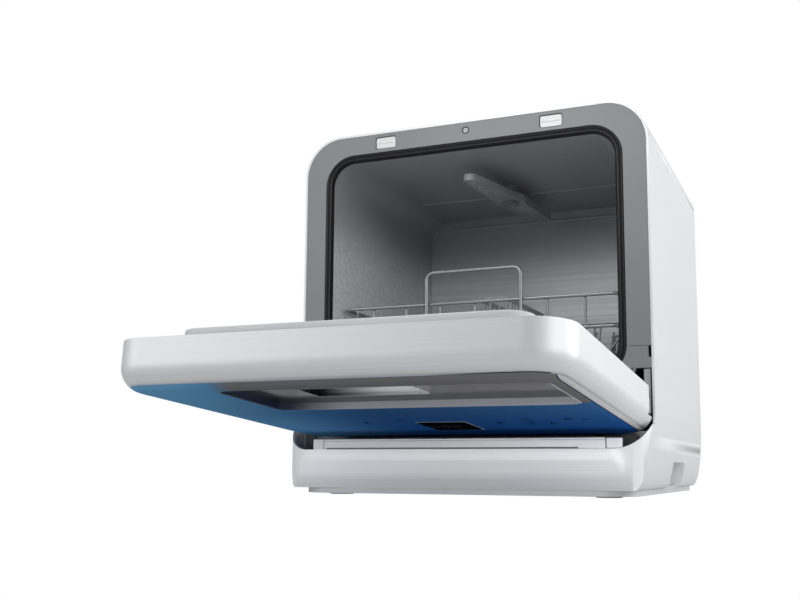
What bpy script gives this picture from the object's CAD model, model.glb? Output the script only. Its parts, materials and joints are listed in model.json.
"""Looks of a countertop dishwasher with a drop-down door and a roll-out wire rack.

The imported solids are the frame. Each sub-assembly below dresses its own solids
and adds the soft-edged skins and the fine detail that the solids leave plain.
Lengths are in metres, and angles in radians where no note says degrees.
"""

import json
import logging
import math
from dataclasses import dataclass
from enum import Enum
from typing import Optional, Sequence

import bpy
from mathutils import Matrix, Vector

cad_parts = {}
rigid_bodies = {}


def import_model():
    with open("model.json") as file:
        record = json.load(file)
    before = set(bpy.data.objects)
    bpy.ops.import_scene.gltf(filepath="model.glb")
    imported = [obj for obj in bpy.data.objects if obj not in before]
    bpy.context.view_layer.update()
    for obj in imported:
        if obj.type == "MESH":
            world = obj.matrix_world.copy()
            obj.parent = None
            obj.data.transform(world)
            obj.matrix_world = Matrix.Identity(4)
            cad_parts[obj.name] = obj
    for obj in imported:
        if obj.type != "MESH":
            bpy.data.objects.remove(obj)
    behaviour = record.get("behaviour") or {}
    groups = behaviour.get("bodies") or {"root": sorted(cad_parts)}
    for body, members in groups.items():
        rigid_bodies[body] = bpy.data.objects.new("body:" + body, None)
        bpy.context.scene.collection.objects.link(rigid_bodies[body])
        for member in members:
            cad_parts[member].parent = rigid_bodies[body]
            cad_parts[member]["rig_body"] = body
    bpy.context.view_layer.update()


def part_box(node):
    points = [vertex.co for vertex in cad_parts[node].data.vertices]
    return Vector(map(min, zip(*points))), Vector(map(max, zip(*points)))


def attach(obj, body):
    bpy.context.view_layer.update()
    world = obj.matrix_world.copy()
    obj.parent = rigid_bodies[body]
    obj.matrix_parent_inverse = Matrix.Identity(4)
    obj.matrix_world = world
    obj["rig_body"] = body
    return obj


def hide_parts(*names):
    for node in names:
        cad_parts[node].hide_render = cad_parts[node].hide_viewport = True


Colour = tuple[float, float, float]
Point = tuple[float, float, float]
Pair = tuple[float, float]
Piece = bpy.types.Object
Socket = bpy.types.NodeSocket

LOG = logging.getLogger("dishwasher")

# Keeps the finishes apart from the solids' own materials, which may share a name.
FINISH = "finish_"

# Points of a solid closer than WELD are one point. Of its edges, in degrees, those
# flatter than FLAT are dissolved, those flatter than SMOOTH are shaded smooth, and
# those sharper than SHARP are softened.
WELD = 0.000004
FLAT = 0.3
SMOOTH = 35
SHARP = 40

# How far the print on the door's glass stands out.
INK_DEPTH = 0.0002

# The middle of a noise field, where most of its values lie.
MIDDLE: Pair = (0.3, 0.7)

WHITE: Colour = (1.0, 1.0, 1.0)

# The door stands open at rest. Places on it are given as on the closed door and
# swung about the hinge line: its front face, the seam between glass and casing
# behind that face, and the foot of the glass's smoked field.
OPEN = math.radians(85)
HINGE = Vector((0, -0.0273, 0.0949))
FACE = -0.054
SEAM_DEPTH = 0.004
FIELD_FOOT = 0.293
SWING = (
    Matrix.Translation(HINGE)
    @ Matrix.Rotation(OPEN, 4, "X")
    @ Matrix.Translation(-HINGE)
)
ACROSS_DOOR = SWING.to_3x3() @ Vector((0, 1, 0))
UP_DOOR = SWING.to_3x3() @ Vector((0, 0, 1))
SEAM_AT = ACROSS_DOOR.dot(SWING @ Vector((0, FACE + SEAM_DEPTH, 0)))
FIELD_AT = UP_DOOR.dot(SWING @ Vector((0, 0, FIELD_FOOT)))

# Pieces are drawn flat, in X and Y, and raised along Z. UPRIGHT stands such a piece
# up to face the front, and PANEL lays it on the face of the open door.
UPRIGHT = Matrix(((1, 0, 0, 0), (0, 0, -1, 0), (0, 1, 0, 0), (0, 0, 0, 1)))
PANEL = SWING @ Matrix.Translation((0, FACE, 0)) @ UPRIGHT


# ---- shader maths


class Maths:
    """A number socket of a node tree that Python's operators can work on."""

    def __init__(self, shader: "Shader", socket: Socket) -> None:
        """Wraps a socket.

        Args:
            shader: the builder of the tree.
            socket: the output to work on.
        """
        self.shader = shader
        self.socket = socket

    def __add__(self, other: "float | Maths") -> "Maths":
        """self + other."""
        return self.shader.maths("ADD", self, other)

    __radd__ = __add__

    def __sub__(self, other: "float | Maths") -> "Maths":
        """self - other."""
        return self.shader.maths("SUBTRACT", self, other)

    def __rsub__(self, other: float) -> "Maths":
        """other - self."""
        return self.shader.maths("SUBTRACT", other, self)

    def __mul__(self, other: "float | Maths") -> "Maths":
        """self * other."""
        return self.shader.maths("MULTIPLY", self, other)

    __rmul__ = __mul__

    def __abs__(self) -> "Maths":
        """The magnitude."""
        return self.shader.maths("ABSOLUTE", self)

    def over(self, edge: float) -> "Maths":
        """1 where the value is over the edge, else 0."""
        return self.shader.maths("GREATER_THAN", self, edge)

    def under(self, edge: float) -> "Maths":
        """1 where the value is under the edge, else 0."""
        return self.shader.maths("LESS_THAN", self, edge)

    def ramp(self, low: float, high: float) -> "Maths":
        """Runs smoothly from 0 at low to 1 at high.

        Args:
            low: the value that gives 0.
            high: the value that gives 1.

        Returns:
            The smooth step.
        """
        node = self.shader.node(
            "ShaderNodeMapRange",
            {"interpolation_type": "SMOOTHSTEP", "clamp": True},
            {"Value": self, "From Min": low, "From Max": high},
        )
        return Maths(self.shader, node.outputs["Result"])


class Shader:
    """Builds the node tree of one material or world."""

    def __init__(self, name: str, world: bool = False) -> None:
        """Starts an empty tree.

        Args:
            name: the material's or world's name.
            world: whether it is a world.
        """
        kept = bpy.data.worlds if world else bpy.data.materials
        self.owner = kept.new(FINISH + name)
        self.owner.use_nodes = True
        self.output = "ShaderNodeOutputWorld" if world else "ShaderNodeOutputMaterial"
        self.tree = self.owner.node_tree
        self.tree.nodes.clear()
        self.spot = self.node("ShaderNodeTexCoord").outputs["Object"]

    def node(
        self,
        kind: str,
        settings: Optional[dict[str, object]] = None,
        sockets: Optional[dict] = None,
    ) -> bpy.types.Node:
        """Adds a node, with its settings made first.

        Args:
            kind: the node's type.
            settings: properties of the node by name.
            sockets: values or links for its inputs, by name or number.

        Returns:
            The node.
        """
        made = self.tree.nodes.new(kind)
        for key, value in (settings or {}).items():
            setattr(made, key, value)
        for key, value in (sockets or {}).items():
            target = made.inputs[key]
            if isinstance(value, Maths):
                value = value.socket
            if isinstance(value, Socket):
                self.tree.links.new(value, target)
            elif isinstance(value, tuple) and target.type == "RGBA":
                target.default_value = (*value, 1)
            else:
                target.default_value = value
        return made

    def maths(self, operation: str, *values: "float | Maths") -> Maths:
        """Adds a Math node.

        Args:
            operation: the node's operation.
            values: its operands.

        Returns:
            The result.
        """
        made = self.node(
            "ShaderNodeMath", {"operation": operation}, dict(enumerate(values))
        )
        return Maths(self, made.outputs[0])

    def axis(self, letter: str) -> Maths:
        """The place along the axis X, Y or Z."""
        parts = self.node("ShaderNodeSeparateXYZ", None, {"Vector": self.spot})
        return Maths(self, parts.outputs[letter])

    def along(self, way: Vector) -> Maths:
        """The place along a direction.

        Args:
            way: the direction.

        Returns:
            The distance from the origin along it.
        """
        made = self.node(
            "ShaderNodeVectorMath", {"operation": "DOT_PRODUCT"}, {0: self.spot, 1: way}
        )
        return Maths(self, made.outputs["Value"])

    def noise(
        self, scale: float, detail: float = 3.0, stretch: Point = (1, 1, 1)
    ) -> Maths:
        """A field of soft noise between 0 and 1.

        Args:
            scale: how many blotches there are in a metre.
            detail: octaves.
            stretch: a factor on each axis.

        Returns:
            The noise.
        """
        scaled = self.node(
            "ShaderNodeMapping", None, {"Vector": self.spot, "Scale": stretch}
        )
        made = self.node(
            "ShaderNodeTexNoise",
            None,
            {"Vector": scaled.outputs[0], "Scale": scale, "Detail": detail},
        )
        return Maths(self, made.outputs["Fac"])

    def mix(
        self, mask: "float | Maths", low: "Colour | Socket", high: "Colour | Socket"
    ) -> Socket:
        """Mixes two colours.

        Args:
            mask: 0 gives the first colour, 1 the second.
            low: the first colour.
            high: the second colour.

        Returns:
            The mixed colour.
        """
        made = self.node(
            "ShaderNodeMix", {"data_type": "RGBA"}, {0: mask, 6: low, 7: high}
        )
        return made.outputs[2]

    def bump(self, height: Maths, depth: float) -> Socket:
        """Turns a height into a normal.

        Args:
            height: the height, about 0 to 1.
            depth: how far 1 stands out.

        Returns:
            The normal.
        """
        sockets = {"Height": height, "Distance": depth, "Strength": 1.0}
        return self.node("ShaderNodeBump", None, sockets).outputs[0]

    def show(self, surface: bpy.types.Node) -> bpy.types.ID:
        """Ends the tree in a surface, and gives the material or world."""
        self.node(self.output, None, {"Surface": surface.outputs[0]})
        return self.owner

    def white_to_camera(self, kind: str, glow: str, **sockets: object) -> bpy.types.ID:
        """Ends the tree in a surface that the camera alone sees as plain white.

        Args:
            kind: the surface's node.
            glow: the node that glows white.
            sockets: the inputs of the first.

        Returns:
            The material or world.
        """
        ray = self.node("ShaderNodeLightPath").outputs["Is Camera Ray"]
        body = self.node(kind, None, sockets).outputs[0]
        white = self.node(glow, None, {"Color": WHITE, "Strength": 1.0}).outputs[0]
        return self.show(
            self.node("ShaderNodeMixShader", None, {0: ray, 1: body, 2: white})
        )

    def close(self, **sockets: object) -> bpy.types.Material:
        """Ends the tree in one Principled shader.

        Args:
            sockets: the shader's inputs, with underscores for blanks.

        Returns:
            The material.
        """
        named = {key.replace("_", " "): value for key, value in sockets.items()}
        return self.show(self.node("ShaderNodeBsdfPrincipled", None, named))


# ---- finishes


def shade(colour: Colour, factor: float) -> Colour:
    """A colour made lighter or darker by a factor, up to 1."""
    return tuple(min(1.0, part * factor) for part in colour)


@dataclass(frozen=True)
class Moulded:
    """Moulded or lacquered plastic with a fine grain and a slight mottle.

    Grains and blotches are counted to the metre. The mottle is how far the colour
    strays, as a share, and the last two values are how far the roughness strays.
    """

    name: str
    colour: Colour
    roughness: float = 0.4
    grain: float = 2500.0
    depth: float = 0.00002
    mottle: float = 0.04
    metal: float = 0.0
    specular: float = 0.5
    blotches: float = 9.0
    grain_rough: float = 0.08
    blotch_rough: float = 0.06

    def make(self) -> bpy.types.Material:
        """Builds the finish.

        Returns:
            The material.
        """
        shader = Shader(self.name)
        blotch = shader.noise(self.blotches, detail=2.0)
        grain = shader.noise(self.grain, detail=2.0)
        low = shade(self.colour, 1 - self.mottle)
        high = shade(self.colour, 1 + self.mottle)
        uneven = (grain - 0.5) * self.grain_rough + (blotch - 0.5) * self.blotch_rough
        return shader.close(
            Base_Color=shader.mix(blotch.ramp(*MIDDLE), low, high),
            Roughness=self.roughness + uneven,
            Metallic=self.metal,
            Specular_IOR_Level=self.specular,
            Normal=shader.bump(grain, self.depth),
        )


@dataclass(frozen=True)
class Brushed:
    """Sheet metal brushed along one axis.

    Brush lines along each axis and smudges are counted to the metre. The colour
    spreads between two shares of itself, and a fade takes it, from one height to the
    next, down to a share.
    """

    name: str
    colour: Colour
    roughness: float = 0.34
    along: Point = (6, 900, 900)
    depth: float = 0.00001
    metal: float = 0.9
    fade: Optional[Point] = None
    spread: Pair = (0.88, 1.1)
    line_rough: float = 0.14
    smudges: float = 14.0
    smudge_rough: float = 0.1

    def make(self) -> bpy.types.Material:
        """Builds the finish.

        Returns:
            The material.
        """
        shader = Shader(self.name)
        lines = shader.noise(1.0, detail=4.0, stretch=self.along)
        smudge = shader.noise(self.smudges)
        low, high = (shade(self.colour, share) for share in self.spread)
        body = shader.mix(lines.ramp(*MIDDLE), low, high)
        if self.fade:
            foot, head, share = self.fade
            dim = shade(self.colour, share)
            body = shader.mix(shader.axis("Z").ramp(foot, head), body, dim)
        uneven = (lines - 0.5) * self.line_rough + (smudge - 0.5) * self.smudge_rough
        return shader.close(
            Base_Color=body,
            Roughness=self.roughness + uneven,
            Metallic=self.metal,
            Normal=shader.bump(lines, self.depth),
        )


@dataclass(frozen=True)
class Seam:
    """The open joint between the door's glass and casing, drawn as a thin line.

    It ends at the glass's rim, and turns from light to dark over a stretch of X.
    """

    width: float = 0.0006
    end_x: float = 0.192
    fade: Pair = (0.08, 0.15)
    light: Colour = (0.78, 0.8, 0.95)
    dark: Colour = (0.03, 0.028, 0.08)

    def line(self, shader: Shader) -> Maths:
        """1 on the line, else 0."""
        near = (shader.along(ACROSS_DOOR) - SEAM_AT).under(self.width)
        return near * shader.axis("X").under(self.end_x)

    def colour(self, shader: Shader) -> Socket:
        """The line's colour."""
        return shader.mix(shader.axis("X").ramp(*self.fade), self.light, self.dark)


@dataclass(frozen=True)
class Satin:
    """Silver satin lacquer over metal, brushed faintly along X.

    The streak is how far the colour strays between the brush lines, as a share, and
    the cast is how far a highlight is drawn out. Lines and clouds are counted to the
    metre.
    """

    name: str
    colour: Colour
    roughness: float
    metal: float
    streak: float = 0.05
    cast: float = 0.3
    seam: Optional[Seam] = None
    along: Point = (5, 800, 800)
    band: Pair = (0.25, 0.75)
    depth: float = 0.000006
    line_rough: float = 0.1
    clouds: float = 4.0
    cloud_rough: float = 0.08
    coat: float = 0.15
    coat_rough: float = 0.25

    def make(self) -> bpy.types.Material:
        """Builds the finish.

        Returns:
            The material.
        """
        shader = Shader(self.name)
        lines = shader.noise(1.0, detail=5.0, stretch=self.along)
        cloud = shader.noise(self.clouds, detail=2.0)
        low = shade(self.colour, 1 - self.streak)
        high = shade(self.colour, 1 + self.streak / 2)
        body = shader.mix(lines.ramp(*self.band), low, high)
        metal: "float | Maths" = self.metal
        if self.seam:
            line = self.seam.line(shader)
            body = shader.mix(line, body, self.seam.colour(shader))
            metal = (1 - line) * self.metal
        uneven = (lines - 0.5) * self.line_rough + (cloud - 0.5) * self.cloud_rough
        return shader.close(
            Base_Color=body,
            Roughness=self.roughness + uneven,
            Metallic=metal,
            Anisotropic=self.cast,
            Coat_Weight=self.coat,
            Coat_Roughness=self.coat_rough,
            Normal=shader.bump(lines, self.depth),
        )


@dataclass(frozen=True)
class Glass:
    """Blue glass printed from behind, lighter at its left and at its far end.

    A smoked field covers the upper part of the print. The right edge has a silver
    rim with a dark joint beside it. Pairs of numbers are the stretch of X, or of Y
    for the head, in which something sets in or fades out, and smears and waves are
    counted to the metre. The print shines only where it faces the viewer.
    """

    name: str
    deep: Colour
    light: Colour
    left: Pair = (-0.18, -0.02)
    left_share: float = 0.65
    head: Pair = (-0.3, -0.05)
    head_share: float = 0.4
    smoke: Colour = (0.22, 0.22, 0.23)
    smoke_x: Pair = (-0.114, -0.084)
    rim: Colour = (0.79, 0.80, 0.81)
    rim_x: float = 0.1948
    rim_metal: float = 0.4
    rim_rough: float = 0.2
    joint: Colour = (0.02, 0.018, 0.09)
    joint_half: float = 0.0005
    roughness: float = 0.1
    smear: float = 18.0
    smear_band: Pair = (0.45, 0.8)
    smear_rough: float = 0.06
    metal: float = 0.35
    facing: Pair = (0.3, 0.7)
    wave: float = 30.0
    wave_depth: float = 0.00002

    def make(self) -> bpy.types.Material:
        """Builds the finish.

        Returns:
            The material.
        """
        shader = Shader(self.name)
        side = shader.axis("X")
        left = 1 - side.ramp(*self.left)
        head = 1 - shader.axis("Y").ramp(*self.head)
        blue = left * self.left_share + head * self.head_share
        smoked = shader.along(UP_DOOR).over(FIELD_AT) * side.ramp(*self.smoke_x)
        rim = side.over(self.rim_x)
        joint = abs(side - self.rim_x).under(self.joint_half)
        body = shader.mix(blue, self.deep, self.light)
        body = shader.mix(smoked, body, self.smoke)
        body = shader.mix(rim, body, self.rim)
        weight = shader.node("ShaderNodeLayerWeight")
        glance = Maths(shader, weight.outputs["Facing"]).ramp(*self.facing)
        smear = shader.noise(self.smear, detail=4.0).ramp(*self.smear_band)
        gloss = self.roughness + smear * self.smear_rough
        return shader.close(
            Base_Color=shader.mix(joint, body, self.joint),
            Metallic=self.metal * (1 - glance) * (1 - smoked) + rim * self.rim_metal,
            Roughness=gloss + rim * self.rim_rough,
            Specular_IOR_Level=0.0,
            Normal=shader.bump(shader.noise(self.wave, detail=1.0), self.wave_depth),
        )


@dataclass(frozen=True)
class Clear:
    """Clear or smoked glass that is seen through.

    Smears are counted to the metre. They are lighter by a factor, and a little
    rougher and less clear.
    """

    name: str
    colour: Colour
    roughness: float = 0.05
    alpha: float = 0.5
    metal: float = 0.0
    tint: Colour = WHITE
    smear: float = 22.0
    smear_band: Pair = (0.5, 0.8)
    smear_light: float = 1.1
    smear_rough: float = 0.08
    smear_alpha: float = 0.05

    def make(self) -> bpy.types.Material:
        """Builds the finish.

        Returns:
            The material.
        """
        shader = Shader(self.name)
        smear = shader.noise(self.smear, detail=4.0)
        rough = smear.ramp(*self.smear_band) * self.smear_rough
        light = shade(self.colour, self.smear_light)
        return shader.close(
            Base_Color=shader.mix(smear, self.colour, light),
            Roughness=self.roughness + rough,
            Alpha=self.alpha + smear * self.smear_alpha,
            Metallic=self.metal,
            Specular_Tint=self.tint,
        )


@dataclass(frozen=True)
class Graded:
    """A smooth finish that runs from one colour to another along X."""

    name: str
    left: Colour
    right: Colour
    fade: Pair
    roughness: float = 0.25
    metal: float = 0.2
    clouds: float = 40.0
    cloud_rough: float = 0.06

    def make(self) -> bpy.types.Material:
        """Builds the finish.

        Returns:
            The material.
        """
        shader = Shader(self.name)
        cloud = shader.noise(self.clouds, detail=2.0)
        way = shader.axis("X").ramp(*self.fade)
        return shader.close(
            Base_Color=shader.mix(way, self.left, self.right),
            Roughness=self.roughness + (cloud - 0.5) * self.cloud_rough,
            Metallic=self.metal,
        )


class Looks(Enum):
    """The finishes of this machine."""

    CASING = Satin("casing_satin", (0.82, 0.825, 0.83), roughness=0.48, metal=0.35)
    DOOR = Satin(
        "door_satin",
        (0.86, 0.865, 0.87),
        roughness=0.5,
        metal=0.72,
        streak=0.03,
        cast=0.2,
        seam=Seam(),
    )
    TRAY = Moulded("tray_plastic", (0.62, 0.63, 0.64), 0.5)
    RUBBER = Moulded(
        "soft_rubber",
        (0.005, 0.005, 0.006),
        roughness=0.6,
        grain=1800,
        depth=0.00004,
        mottle=0.1,
        specular=0.2,
    )
    LIP = Moulded("seal_lip_black", (0.003, 0.003, 0.004))
    FOOT = Moulded("foot_grey", (0.62, 0.63, 0.64), 0.5)
    GROOVE = Moulded("groove_grey", (0.2, 0.2, 0.2), 0.5)
    FELT = Moulded(
        "felt_black", (0.015, 0.015, 0.016), roughness=0.9, grain=900, depth=0.0003
    )
    INK = Moulded("ink_navy", (0.004, 0.008, 0.03), 0.3, specular=0.0)
    SEGMENT = Moulded("segment_grey", (0.03, 0.04, 0.05), 0.25, specular=0.0)
    TRIM = Moulded("display_trim", (0.5, 0.56, 0.62), 0.25, specular=0.1)
    FRAME = Moulded("frame_grain", (0.24, 0.245, 0.25), 0.42, grain=3000, mottle=0.03)
    TUB = Brushed(
        "tub_steel",
        (0.74, 0.745, 0.76),
        roughness=0.4,
        along=(3, 260, 260),
        depth=0.000003,
        metal=0.3,
        fade=(0.27, 0.36, 0.5),
    )
    BRIGHT = Brushed("bright_steel", (0.5, 0.5, 0.51), 0.25, along=(300, 300, 20))
    SILL = Moulded("sill_silver", (0.62, 0.63, 0.64), 0.35, metal=0.5)
    HINGE = Moulded("hinge_zinc", (0.42, 0.43, 0.44), metal=0.6)
    LATCH = Moulded("latch_white", (0.8, 0.8, 0.8), 0.28)
    RAIL = Moulded("rail_plastic", (0.2, 0.21, 0.22), 0.45)
    SUMP = Moulded("sump_plastic", (0.05, 0.055, 0.06), 0.5)
    SIEVE = Brushed("sieve_steel", (0.6, 0.61, 0.62), 0.3, along=(200, 200, 200))
    FILTER = Moulded("filter_plastic", (0.12, 0.16, 0.2))
    PUMP = Moulded("pump_plastic", (0.2, 0.2, 0.21), 0.5)
    BOARD = Moulded("board_green", (0.02, 0.12, 0.05))
    ARM = Moulded("arm_plastic", (0.32, 0.33, 0.35), 0.35)
    BLUE = Glass("glass_blue", deep=(0.018, 0.1, 0.35), light=(0.17, 0.43, 0.7))
    WINDOW = Clear(
        "window_smoke",
        (0.15, 0.145, 0.15),
        roughness=0.12,
        alpha=0.93,
        metal=0.55,
        tint=(0.4, 0.38, 0.38),
    )
    BEZEL = Graded(
        "bezel_silver", (0.02, 0.04, 0.1), (0.9, 0.93, 1.0), (-0.12, -0.03), metal=0.1
    )
    HANDLE = Graded(
        "handle_silver",
        (0.05, 0.05, 0.055),
        (0.92, 0.92, 0.93),
        (-0.03, 0.045),
        metal=0.8,
    )
    DISPLAY = Moulded("display_black", (0.004, 0.004, 0.005), 0.15, specular=0.0)
    LINER = Moulded("liner_white", (0.7, 0.72, 0.74), 0.32)
    PANE = Clear("pane_clear", (0.7, 0.75, 0.78), roughness=0.04, alpha=0.25)
    CUP = Moulded("cup_grey", (0.4, 0.42, 0.44), 0.35)
    WIRE = Moulded(
        "wire_coat", (0.36, 0.365, 0.37), 0.22, grain=1500, mottle=0.06, metal=0.9
    )
    BASKET = Moulded("basket_grey", (0.34, 0.35, 0.36))
    ROLLER = Moulded("roller_grey", (0.12, 0.125, 0.13))

    def material(self) -> bpy.types.Material:
        """The finish's material, built at its first use."""
        known = bpy.data.materials.get(FINISH + self.value.name)
        return known or self.value.make()


# ---- modelling aids

# How finely rounds are drawn: the steps in a plate's corner, in a frame's corner and
# across a bead, and the sides of a disc.
PLATE_STEPS = 6
FRAME_STEPS = 10
BEAD_STEPS = 3
DISC_SIDES = 40

# Rows of a finish, how far edges are softened, and the solids that it is for. Solids
# with None are shown themselves, and the others through a copy.
Dressing = tuple[tuple[Looks, Optional[float], str], ...]


def pick(made: Piece) -> None:
    """Selects one object alone and makes it active.

    Args:
        made: the object.
    """
    bpy.ops.object.select_all(action="DESELECT")
    made.select_set(True)
    bpy.context.view_layer.objects.active = made


def dress(node: str, look: Looks) -> None:
    """Gives a solid its finish.

    Args:
        node: the solid's name.
        look: the finish.
    """
    slots = bpy.data.objects[node].data.materials
    slots.clear()
    slots.append(look.material())
    LOG.info("dressed %s", node)


def settle(
    made: Piece,
    name: str,
    body: str,
    look: Looks,
    place: Optional[Matrix] = None,
) -> None:
    """Names and dresses a finished piece and lets it ride on its body.

    Args:
        made: the piece.
        name: its name.
        body: the body that carries it.
        look: its finish.
        place: the frame that the piece was drawn in.
    """
    pick(made)
    if place is not None:
        made.matrix_world = place @ made.matrix_world
    bpy.ops.object.transform_apply(location=True, rotation=True, scale=True)
    made.name = name
    made.data.name = name
    made.data.materials.clear()
    made.data.materials.append(look.material())
    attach(made, body)
    LOG.info("built %s on %s", name, body)


def modify(made: Piece, kind: str, **settings: object) -> None:
    """Adds a modifier and applies it.

    Args:
        made: the piece.
        kind: the modifier's type.
        settings: its properties.
    """
    pick(made)
    step = made.modifiers.new(kind.lower(), kind)
    for key, value in settings.items():
        setattr(step, key, value)
    bpy.ops.object.modifier_apply(modifier=step.name)


def soften(made: Piece, width: float, steps: int = 2, above: float = 50) -> None:
    """Bevels the sharp edges of a piece.

    Args:
        made: the piece.
        width: the bevel's width; none is made at 0.
        steps: the number of its segments.
        above: edges sharper than this many degrees are bevelled.
    """
    if width:
        modify(
            made,
            "BEVEL",
            width=width,
            segments=steps,
            limit_method="ANGLE",
            angle_limit=math.radians(above),
        )


def skin(node: str, look: Looks, soft: float) -> None:
    """Stands a soft-edged, smoothly shaded copy in for a solid.

    Args:
        node: the solid.
        look: the finish.
        soft: the width of the bevel on sharp edges.
    """
    source = bpy.data.objects[node]
    made = bpy.data.objects.new(f"{node}_skin", source.data.copy())
    bpy.context.scene.collection.objects.link(made)
    pick(made)
    bpy.ops.object.mode_set(mode="EDIT")
    bpy.ops.mesh.select_all(action="SELECT")
    bpy.ops.mesh.remove_doubles(threshold=WELD)
    bpy.ops.mesh.dissolve_limited(angle_limit=math.radians(FLAT))
    bpy.ops.object.mode_set(mode="OBJECT")
    soften(made, soft, above=SHARP)
    pick(made)
    bpy.ops.object.shade_smooth_by_angle(angle=math.radians(SMOOTH))
    modify(made, "WEIGHTED_NORMAL", keep_sharp=True)
    settle(made, made.name, source["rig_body"], look)
    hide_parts(node)


def cover(dressing: Dressing) -> None:
    """Dresses solids, and stands soft-edged copies in for some of them.

    Args:
        dressing: the rows.
    """
    for look, soft, nodes in dressing:
        for node in nodes.split():
            if soft is None:
                dress(node, look)
            else:
                skin(node, look, soft)


def outline(low: Point, high: Point, corner: float, steps: int = FRAME_STEPS) -> Piece:
    """Draws a flat rounded rectangle, left in edit mode with all of it selected.

    Args:
        low: its lowest corner, at whose height it lies.
        high: its highest corner.
        corner: the radius of its corners.
        steps: the number of segments in each of them.

    Returns:
        The rectangle.
    """
    start, end = Vector(low), Vector(high)
    middle = (start + end) / 2
    bpy.ops.mesh.primitive_plane_add(size=1, location=(middle.x, middle.y, start.z))
    made = bpy.context.object
    made.scale = (end.x - start.x, end.y - start.y, 1)
    bpy.ops.object.transform_apply(location=True, rotation=False, scale=True)
    bpy.ops.object.mode_set(mode="EDIT")
    bpy.ops.mesh.select_all(action="SELECT")
    if corner:
        bpy.ops.mesh.bevel(offset=corner, segments=steps, affect="VERTICES")
        bpy.ops.mesh.select_all(action="SELECT")
    return made


def hollow(wall: float) -> None:
    """Cuts the middle out of the selected face.

    Args:
        wall: the width of the band that stays.
    """
    bpy.ops.mesh.inset(thickness=wall)
    bpy.ops.mesh.delete(type="FACE")
    bpy.ops.mesh.select_all(action="SELECT")


def raise_up(depth: float) -> None:
    """Extrudes the selected faces along Z, turns all faces out and leaves edit mode.

    Args:
        depth: how far; negative goes down.
    """
    bpy.ops.mesh.extrude_region_move(TRANSFORM_OT_translate={"value": (0, 0, depth)})
    bpy.ops.mesh.select_all(action="SELECT")
    bpy.ops.mesh.normals_make_consistent(inside=False)
    bpy.ops.object.mode_set(mode="OBJECT")


def slab(low: Point, high: Point, corner: float = 0.0, soft: float = 0.0) -> Piece:
    """Raises a rounded plate out of its outline.

    Args:
        low: its lowest corner.
        high: its highest corner.
        corner: the radius of its upright edges.
        soft: the bevel on its other edges.

    Returns:
        The plate.
    """
    made = outline(low, high, corner, PLATE_STEPS)
    raise_up(high[2] - low[2])
    soften(made, soft)
    return made


def strip(middle: Pair, size: Pair, layer: Pair, corner: float = 0.0) -> Piece:
    """Raises a thin plate about its middle, as print on a surface.

    Args:
        middle: its middle in plan.
        size: its width and length.
        layer: the heights of its foot and top.
        corner: the radius of its corners.

    Returns:
        The plate.
    """
    (x, y), (wide, long), (foot, top) = middle, size, layer
    low = (x - wide / 2, y - long / 2, foot)
    high = (x + wide / 2, y + long / 2, top)
    return slab(low, high, corner)


def bead(low: Point, high: Point, corner: float, radius: float) -> Piece:
    """Sweeps a round bead along a rounded rectangle.

    Args:
        low: the lowest corner of the bead's centre line.
        high: its highest corner.
        corner: the radius of the line's corners.
        radius: the bead's radius.

    Returns:
        The bead.
    """
    made = outline(low, high, corner)
    bpy.ops.mesh.delete(type="ONLY_FACE")
    bpy.ops.object.mode_set(mode="OBJECT")
    bpy.ops.object.convert(target="CURVE")
    made.data.bevel_depth = radius
    made.data.bevel_resolution = BEAD_STEPS
    bpy.ops.object.convert(target="MESH")
    bpy.ops.object.shade_smooth()
    return made


def tube(
    centre: Point, radius: float, wall: float, depth: float, soft: float = 0.0
) -> Piece:
    """Turns a short ring or disc about the upright axis.

    Args:
        centre: the middle of its foot.
        radius: its outer radius.
        wall: its width; as wide as the radius gives a disc.
        depth: its height.
        soft: the bevel on its edges.

    Returns:
        The ring.
    """
    bpy.ops.mesh.primitive_circle_add(
        vertices=DISC_SIDES, radius=radius, fill_type="NGON", location=centre
    )
    made = bpy.context.object
    bpy.ops.object.mode_set(mode="EDIT")
    bpy.ops.mesh.select_all(action="SELECT")
    if wall < radius:
        hollow(wall)
    raise_up(depth)
    soften(made, soft)
    return made


def join(pieces: Sequence[Piece]) -> Piece:
    """Joins pieces into the first of them.

    Args:
        pieces: the pieces.

    Returns:
        The joined piece.
    """
    pick(pieces[0])
    for piece in pieces[1:]:
        piece.select_set(True)
    bpy.ops.object.join()
    return bpy.context.view_layer.objects.active


# ---- sub-assemblies


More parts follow.
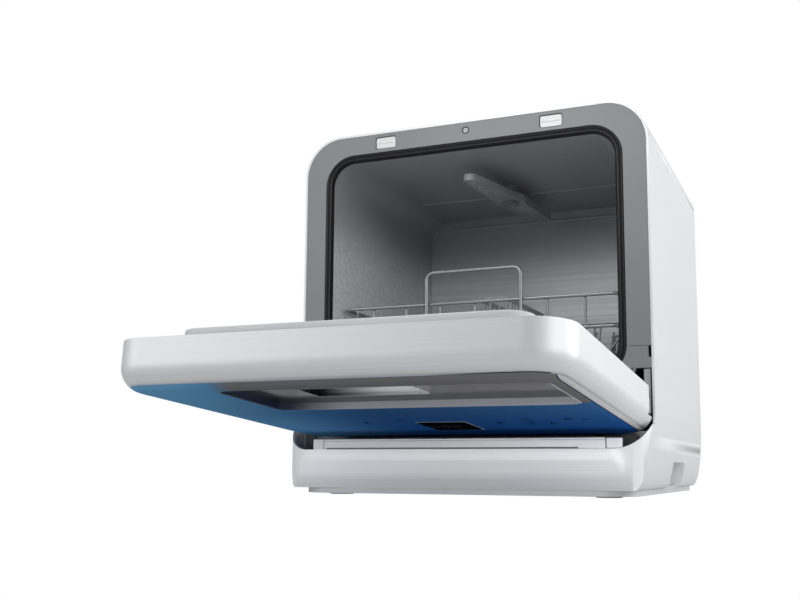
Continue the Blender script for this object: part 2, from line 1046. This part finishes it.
@dataclass
class Cabinet:
    """Casing, plinth, front frame, tub and what is fixed in them.

    Attributes:
        dressing: the solids' finishes and the softening of their edges.
        seal_corner: the radius of the seal's corners.
        lips: how far each lip of the seal is set in, and its radius.
        lip_sunk: how far the lips' centres lie behind the seal's face.
        ring: the outer radius, width, depth and bevel of the screw's ring.
        ring_sunk: how far its foot lies behind the screw's face.
        bar_low, bar_high: the corners of the bar behind the apron, in X and Z.
        bar_front: how far forward the bar reaches.
        fit: the gap between the bar and what is laid on it.
        soft: the bevel on trim.
        cap: how far the bar's cap rises, and how deep it is.
        end_gap: the joint between the cap and the right end block.
        end_x, end_rise: where that block ends, and how far it rises over the bar.
        end_front: its rear and front.
        block: the left end block's width, thickness, corner radius and bevel.
        slot_z, slot_layer: the slot line's foot and head, and its rear and front.
        slot_inset: how far it keeps from the bar's two ends.
        felt: the corners of the felt mat.
        skirt_x: how far a plinth skirt is from the machine's middle.
        skirt: the corners of a skirt, with X from there.
    """

    dressing: Dressing = (
        (Looks.CASING, 0.0006, "outer_shell"),
        (Looks.TRAY, 0.0005, "base_tray"),
        (Looks.TRAY, 0.0004, "rear_cover"),
        (Looks.FOOT, 0.0006, "rubber_feet"),
        (Looks.RUBBER, 0.0008, "door_seal"),
        (Looks.RUBBER, None, "mains_inlet"),
        (Looks.FRAME, 0.0006, "front_frame"),
        (Looks.TUB, 0.0, "tub"),
        (Looks.BRIGHT, None, "rear_screws"),
        (Looks.HINGE, None, "frame_screw"),
        (Looks.SILL, 0.0004, "hinge_sill"),
        (Looks.HINGE, 0.0004, "hinge_bracket_left hinge_bracket_right"),
        (Looks.LATCH, 0.0007, "catch_left catch_right"),
        (Looks.LATCH, None, "inlet_valve inlet_connector"),
        (Looks.RAIL, None, "rail_left rail_right lower_spray_hub upper_spray_hub"),
        (Looks.SUMP, None, "sump riser_pipe drain_pipe drain_connector"),
        (Looks.SIEVE, None, "filter_mesh"),
        (Looks.FILTER, None, "filter_cup"),
        (Looks.PUMP, None, "wash_pump drain_pump"),
        (Looks.BRIGHT, None, "water_heater"),
        (Looks.BOARD, None, "power_board"),
        (Looks.ARM, 0.0005, "lower_spray_arm upper_spray_arm"),
    )
    seal_corner: float = 0.0355
    lips: tuple[Pair, ...] = ((0.0016, 0.0011), (0.0058, 0.0014))
    lip_sunk: float = 0.0007
    ring: tuple[float, ...] = (0.0044, 0.0013, 0.0008, 0.0002)
    ring_sunk: float = 0.0002
    bar_low: Pair = (-0.167, 0.0465)
    bar_high: Pair = (0.167, 0.0595)
    bar_front: float = 0.0552
    fit: float = 0.0001
    soft: float = 0.0004
    cap: Pair = (0.0024, 0.0042)
    end_x: float = 0.184
    end_gap: float = 0.0004
    end_rise: float = 0.002
    end_front: Pair = (0.0504, 0.053)
    block: tuple[float, ...] = (0.013, 0.0012, 0.001, 0.0003)
    slot_z: Pair = (0.0505, 0.0524)
    slot_inset: Pair = (0.016, 0.028)
    slot_layer: Pair = (0.00005, 0.0003)
    felt: tuple[Point, Point] = ((-0.148, 0.0125, 0.012), (0.148, 0.0145, 0.108))
    skirt_x: float = 0.1915
    skirt: tuple[Point, Point] = ((-0.0015, 0.1222, 0.002), (0.0015, 0.2258, 0.0105))

    def build(self) -> None:
        """Dresses the solids and adds the small pieces."""
        cover(self.dressing)
        self.seal_lips()
        self.screw_ring()
        self.bar_cap()
        self.bar_front_trim()
        self.mat()
        self.skirts()

    def seal_lips(self) -> None:
        """Lays the round lips on the face of the door seal."""
        low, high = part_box("door_seal")
        face = -low.y - self.lip_sunk
        lips = [
            bead(
                (low.x + inset, low.z + inset, face),
                (high.x - inset, high.z - inset, face),
                self.seal_corner - inset,
                radius,
            )
            for inset, radius in self.lips
        ]
        settle(join(lips), "seal_lips", "cabinet", Looks.LIP, UPRIGHT)

    def screw_ring(self) -> None:
        """Sets a dark ring round the screw in the frame."""
        low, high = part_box("frame_screw")
        middle = (low + high) / 2
        ring = tube((middle.x, middle.z, -low.y - self.ring_sunk), *self.ring)
        settle(ring, "screw_ring", "cabinet", Looks.LIP, UPRIGHT)

    def bar_cap(self) -> None:
        """Caps the bar behind the apron and closes its right end."""
        (left, foot), (right, top) = self.bar_low, self.bar_high
        rise, deep = self.cap
        rear, front = self.end_front
        cap = slab(
            (left, top + self.fit, self.bar_front - deep),
            (right, top + rise, self.bar_front),
            soft=self.soft,
        )
        end = slab(
            (right + self.end_gap, foot, rear),
            (self.end_x, top + self.end_rise, front),
            soft=self.soft,
        )
        settle(join([cap, end]), "bar_cap", "cabinet", Looks.SILL, UPRIGHT)

    def bar_front_trim(self) -> None:
        """Adds the bar's left end block and the slot line along its front."""
        (left, foot), (right, top) = self.bar_low, self.bar_high
        wide, proud, corner, soft = self.block
        block = slab(
            (left, foot, self.bar_front + self.fit),
            (left + wide, top + self.cap[0], self.bar_front + proud),
            corner,
            soft,
        )
        settle(block, "bar_end_block", "cabinet", Looks.LATCH, UPRIGHT)
        (slot_foot, slot_top), (rear, front) = self.slot_z, self.slot_layer
        slot = slab(
            (left + self.slot_inset[0], slot_foot, self.bar_front + rear),
            (right - self.slot_inset[1], slot_top, self.bar_front + front),
        )
        settle(slot, "bar_slot", "cabinet", Looks.GROOVE, UPRIGHT)

    def mat(self) -> None:
        """Hangs the felt mat that quiets the base behind the hinge sill."""
        settle(slab(*self.felt, soft=self.soft), "base_felt", "cabinet", Looks.FELT)

    def skirts(self) -> None:
        """Closes the plinth under the carry grips."""
        low, high = self.skirt
        sides = [
            slab((x + low[0], *low[1:]), (x + high[0], *high[1:]))
            for x in (-self.skirt_x, self.skirt_x)
        ]
        settle(join(sides), "plinth_skirts", "cabinet", Looks.TRAY)


@dataclass(frozen=True)
class Dot:
    """A disc of a sign, or a ring where it has a wall."""

    radius: float
    wall: float = 0.0
    x: float = 0.0
    z: float = 0.0

    def draw(self, x: float, z: float) -> Piece:
        """Draws the dot of a sign that has its place there."""
        centre = (x + self.x, z + self.z, 0)
        return tube(centre, self.radius, self.wall or self.radius, INK_DEPTH)


@dataclass(frozen=True)
class Stroke:
    """A straight stroke of a sign, about its middle."""

    x: float
    z: float
    wide: float
    long: float
    corner: float = 0.0
    depth: float = INK_DEPTH

    def draw(self, x: float, z: float) -> Piece:
        """Draws the stroke of a sign that has its place there."""
        size, layer = (self.wide, self.long), (0, self.depth)
        return strip((x + self.x, z + self.z), size, layer, self.corner)


@dataclass(frozen=True)
class Arrow:
    """A triangle of a sign, which points right."""

    radius: float

    def draw(self, x: float, z: float) -> Piece:
        """Draws the triangle of a sign.

        Args:
            x: the sign's place along X.
            z: its height on the closed door.

        Returns:
            The triangle.
        """
        bpy.ops.mesh.primitive_circle_add(
            vertices=3,
            radius=self.radius,
            fill_type="NGON",
            location=(x, z, 0),
            rotation=(0, 0, -math.pi / 2),
        )
        made = bpy.context.object
        modify(made, "SOLIDIFY", thickness=INK_DEPTH, offset=1)
        return made


# The step between two rows of a column of signs, and the line under every sign.
ROW = 0.011
UNDERLINE = Stroke(0, -0.0078, 0.008, 0.0014, 0.0004)


class Sign(Enum):
    """The plain signs on the touch keys."""

    LINE = ()
    DROP = (Dot(0.0026), Stroke(0, 0.0033, 0.0018, 0.003, 0.0008))
    PLAY = (Arrow(0.0036),)
    RING = (Dot(0.0034, 0.0008), Stroke(0, 0.0028, 0.0008, 0.0036, depth=0.00021))
    COLUMN = tuple(
        part
        for row in range(4)
        for part in (
            Dot(0.0012, x=-0.003, z=ROW * row),
            Stroke(0.0035, ROW * row, 0.007, 0.0014, 0.0003),
        )
    )


# The strokes of a figure: the middle, in stroke lengths, and whether it lies flat.
SEGMENTS = (
    (0.0, 1.0, True),
    (0.0, 0.0, True),
    (0.0, -1.0, True),
    (-0.5, 0.5, False),
    (0.5, 0.5, False),
    (-0.5, -0.5, False),
    (0.5, -0.5, False),
)


@dataclass
class Door:
    """The drop-down door with its glass, window, handle and inner liner.

    Places on the glass are X and the height on the closed door. Layers are a foot
    and a top over the glass.

    Attributes:
        dressing: the solids' finishes and the softening of their edges.
        screen, screen_corner: the display's field, and the radius of its corners.
        trim: how far its trim stands out at the sides and top, and at the foot.
        trim_corner: the radius of the trim's corners.
        figures: how many figures the display has.
        figure_x: how far the first one's middle is from the field's left edge.
        figure_pitch, figure_z: the step between two, and the height of their middle.
        stroke, stroke_corner: a stroke's length and width, and its corners' radius.
        screen_layer, trim_layer, stroke_layer: the layers that these fill.
        signs: the place and kind of each key's sign.
        lip, lip_corner: the liner's lip, and the radius of its corners.
        lip_wall: its width.
        lip_depth: how far back it goes from the door's front face.
        lip_soft, lip_steps: the bevel on its edges, and the bevel's segments.
        lip_smooth: edges flatter than this many degrees are shaded smooth.
    """

    dressing: Dressing = (
        (Looks.DOOR, 0.0006, "door_shell"),
        (Looks.BLUE, 0.0005, "control_glass"),
        (Looks.BEZEL, 0.0003, "window_bezel"),
        (Looks.WINDOW, 0.0003, "door_window"),
        (Looks.HANDLE, 0.0008, "handle_cup"),
        (Looks.DISPLAY, None, "display"),
        (Looks.BOARD, None, "control_board"),
        (Looks.LINER, 0.0008, "door_liner"),
        (Looks.PANE, None, "liner_window"),
        (Looks.CUP, None, "detergent_cup"),
        (Looks.LATCH, 0.0005, "detergent_lid"),
        (Looks.CUP, None, "rinse_cap"),
        (Looks.HINGE, 0.0005, "hinge_blocks"),
        (Looks.BRIGHT, None, "striker_plates liner_screws"),
    )
    screen: tuple[Pair, Pair] = ((-0.0125, 0.1275), (0.0395, 0.1865))
    screen_layer: Pair = (0.0003, 0.0006)
    screen_corner: float = 0.0025
    trim: Pair = (0.0012, 0.0026)
    trim_layer: Pair = (0.0, 0.00025)
    trim_corner: float = 0.003
    figures: int = 3
    figure_x: float = 0.009
    figure_pitch: float = 0.0125
    figure_z: float = 0.157
    stroke: Pair = (0.0068, 0.0011)
    stroke_layer: Pair = (0.0006, 0.0007)
    stroke_corner: float = 0.0004
    signs: tuple[tuple[float, float, Sign], ...] = (
        (-0.067, 0.191, Sign.DROP),
        (-0.022, 0.214, Sign.LINE),
        (0.074, 0.178, Sign.PLAY),
        (0.104, 0.172, Sign.COLUMN),
        (0.126, 0.170, Sign.DROP),
        (0.148, 0.200, Sign.RING),
        (0.164, 0.200, Sign.LINE),
    )
    lip: tuple[Pair, Pair] = ((-0.1665, 0.16), (0.1665, 0.3915))
    lip_corner: float = 0.023
    lip_wall: float = 0.004
    lip_depth: float = 0.0067
    lip_soft: float = 0.0015
    lip_steps: int = 3
    lip_smooth: float = 40

    def build(self) -> None:
        """Dresses the solids and adds the display, the signs and the liner's lip."""
        cover(self.dressing)
        self.display()
        self.touch_marks()
        self.liner_lip()

    def display(self) -> None:
        """Prints the display's dark field, its trim and its unlit figures."""
        (left, foot), (right, top) = self.screen
        side, under = self.trim
        rear, front = self.trim_layer
        trim = slab(
            (left - side, foot - under, rear),
            (right + side, top + side, front),
            self.trim_corner,
        )
        settle(trim, "display_trim", "door", Looks.TRIM, PANEL)
        rear, front = self.screen_layer
        dark = slab((left, foot, rear), (right, top, front), self.screen_corner)
        settle(dark, "display_field", "door", Looks.DISPLAY, PANEL)
        strokes = [
            stroke
            for place in range(self.figures)
            for stroke in self.figure(left + self.figure_x + self.figure_pitch * place)
        ]
        settle(join(strokes), "display_figures", "door", Looks.SEGMENT, PANEL)

    def figure(self, middle: float) -> list[Piece]:
        """Draws the seven strokes of one figure.

        Args:
            middle: its place along X.

        Returns:
            The strokes.
        """
        length, thin = self.stroke
        return [
            strip(
                (middle + u * length, self.figure_z + v * length),
                (length, thin) if flat else (thin, length),
                self.stroke_layer,
                self.stroke_corner,
            )
            for u, v, flat in SEGMENTS
        ]

    def touch_marks(self) -> None:
        """Prints the signs of the touch keys and of the programmes."""
        marks = [
            part.draw(x, z)
            for x, z, kind in self.signs
            for part in (*kind.value, UNDERLINE)
        ]
        settle(join(marks), "touch_marks", "door", Looks.INK, PANEL)

    def liner_lip(self) -> None:
        """Adds the soft lip round the raised field of the inner liner."""
        low, high = self.lip
        lip = outline((*low, FACE), (*high, FACE), self.lip_corner)
        hollow(self.lip_wall)
        raise_up(-self.lip_depth)
        soften(lip, self.lip_soft, steps=self.lip_steps)
        bpy.ops.object.shade_smooth_by_angle(angle=math.radians(self.lip_smooth))
        settle(lip, "liner_lip", "door", Looks.LINER, PANEL)


@dataclass
class Rack:
    """The wire rack with its basket and rollers."""

    dressing: Dressing = (
        (Looks.WIRE, 0.0, "rack_rims rack_handle rack_long_wires rack_cross_wires"),
        (Looks.WIRE, 0.0, "plate_tines bowl_tines roller_axles"),
        (Looks.ROLLER, 0.0003, "roller_front_left roller_front_right"),
        (Looks.ROLLER, 0.0003, "roller_rear_left roller_rear_right"),
        (Looks.BASKET, 0.0002, "cutlery_basket"),
    )

    def build(self) -> None:
        """Dresses the solids and rounds the wires."""
        cover(self.dressing)


@dataclass(frozen=True)
class Lamp:
    """A rectangular soft lamp, with its power in watts."""

    name: str
    at: Point
    aim: Point
    width: float
    height: float
    power: float
    spread: float = math.pi

    def hang(self) -> None:
        """Hangs the lamp, unseen by the camera."""
        data = bpy.data.lights.new(self.name, "AREA")
        data.shape = "RECTANGLE"
        data.size, data.size_y = self.width, self.height
        data.spread = self.spread
        data.energy = self.power
        made = bpy.data.objects.new(self.name, data)
        bpy.context.scene.collection.objects.link(made)
        made.location = self.at
        way = Vector(self.aim) - Vector(self.at)
        made.rotation_mode = "QUATERNION"
        made.rotation_quaternion = way.to_track_quat("-Z", "Y")
        made.visible_camera = False


@dataclass
class Studio:
    """Floor, backdrop, lamps and the camera.

    Attributes:
        camera_at: where the camera stands.
        yaw: how far it is turned from facing the machine's front.
        pitch: how far it looks up.
        roll: how far it leans.
        lens, sensor: its focal length and frame width in millimetres.
        near: where its view starts.
        shift: how far the picture is shifted, in frame widths.
        ground, ground_size: the floor's colour to the lamps, and its width.
        sky, dusk: the colour and the strength of the even light.
        lamps: the soft lamps.
        flag_at, flag_size, flag_colour: the black card.
    """

    camera_at: Point = (0.3898, -1.0633, 0.0302)
    yaw: float = 0.3982
    pitch: float = 0.130
    roll: float = 0.0043
    lens: float = 45.05
    sensor: float = 36
    near: float = 0.01
    shift: Pair = (-0.0274, 0.0464)
    ground: Colour = (0.66, 0.66, 0.66)
    ground_size: float = 12
    sky: Colour = (0.98, 0.99, 1.0)
    dusk: float = 0.42
    lamps: tuple[Lamp, ...] = (
        Lamp("left_box", (-1.42, -1.5, 0.75), (-0.05, 0, 0.25), 1.4, 1.3, 7),
        Lamp("foot_box", (-0.02, -0.36, 0.014), (-0.02, 0, 0.03), 0.6, 0.02, 0.07, 0.7),
        Lamp("inner_box", (0.03, -0.34, 0.5), (-0.02, 0.2, 0.25), 0.36, 0.16, 0.5),
        Lamp("right_box", (1.75, -0.9, 0.8), (0, 0, 0.2), 1.0, 1.4, 8),
        Lamp("side_box", (1.9, 1.0, 0.7), (0.2, 0.1, 0.2), 1.8, 1.6, 18),
        Lamp("top_box", (0, -0.1, 2.0), (0, 0, 0.2), 1.8, 1.4, 10),
    )
    flag_at: Point = (-0.1, -1.4, 0.2)
    flag_size: Pair = (0.25, 0.4)
    flag_colour: Colour = (0.01, 0.01, 0.01)

    def build(self) -> None:
        """Sets up the studio."""
        self.camera()
        self.floor()
        self.flag()
        self.world()
        for lamp in self.lamps:
            lamp.hang()
        bpy.context.scene.view_settings.view_transform = "Standard"

    def camera(self) -> None:
        """Makes the camera at the low viewpoint in front of the machine's right."""
        data = bpy.data.cameras.new("viewpoint")
        made = bpy.data.objects.new("viewpoint", data)
        bpy.context.scene.collection.objects.link(made)
        data.sensor_width = self.sensor
        data.lens = self.lens
        data.shift_x, data.shift_y = self.shift
        data.clip_start = self.near
        turn = (
            Matrix.Rotation(self.yaw, 4, "Z")
            @ Matrix.Rotation(math.pi / 2 + self.pitch, 4, "X")
            @ Matrix.Rotation(self.roll, 4, "Z")
        )
        made.matrix_world = Matrix.Translation(self.camera_at) @ turn
        bpy.context.scene.camera = made

    def floor(self) -> None:
        """Lays the floor, plain white to the camera and matt to everything else."""
        bpy.ops.mesh.primitive_plane_add(size=self.ground_size, location=(0, 0, 0))
        ground = bpy.context.object
        ground.name = "studio_floor"
        made = Shader("floor_white").white_to_camera(
            "ShaderNodeBsdfDiffuse", "ShaderNodeEmission", Color=self.ground
        )
        ground.data.materials.append(made)

    def flag(self) -> None:
        """Stands a black card up, which the satin door mirrors as a dark band."""
        bpy.ops.mesh.primitive_plane_add(
            size=1, location=self.flag_at, rotation=(math.pi / 2, 0, 0)
        )
        card = bpy.context.object
        card.name = "studio_flag"
        card.scale = (*self.flag_size, 1)
        shader = Shader("flag_black")
        dull = shader.node("ShaderNodeBsdfDiffuse", None, {"Color": self.flag_colour})
        card.data.materials.append(shader.show(dull))
        card.visible_camera = False

    def world(self) -> None:
        """Lights the room evenly and shows white behind everything."""
        bpy.context.scene.world = Shader("room", world=True).white_to_camera(
            "ShaderNodeBackground",
            "ShaderNodeBackground",
            Color=self.sky,
            Strength=self.dusk,
        )


def main() -> None:
    """Builds the machine and the studio."""
    logging.basicConfig(level=logging.INFO, format="%(name)s: %(message)s")
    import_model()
    for part in (Studio(), Cabinet(), Door(), Rack()):
        part.build()
        LOG.info("finished %s", type(part).__name__)


if __name__ == "__main__":
    main()
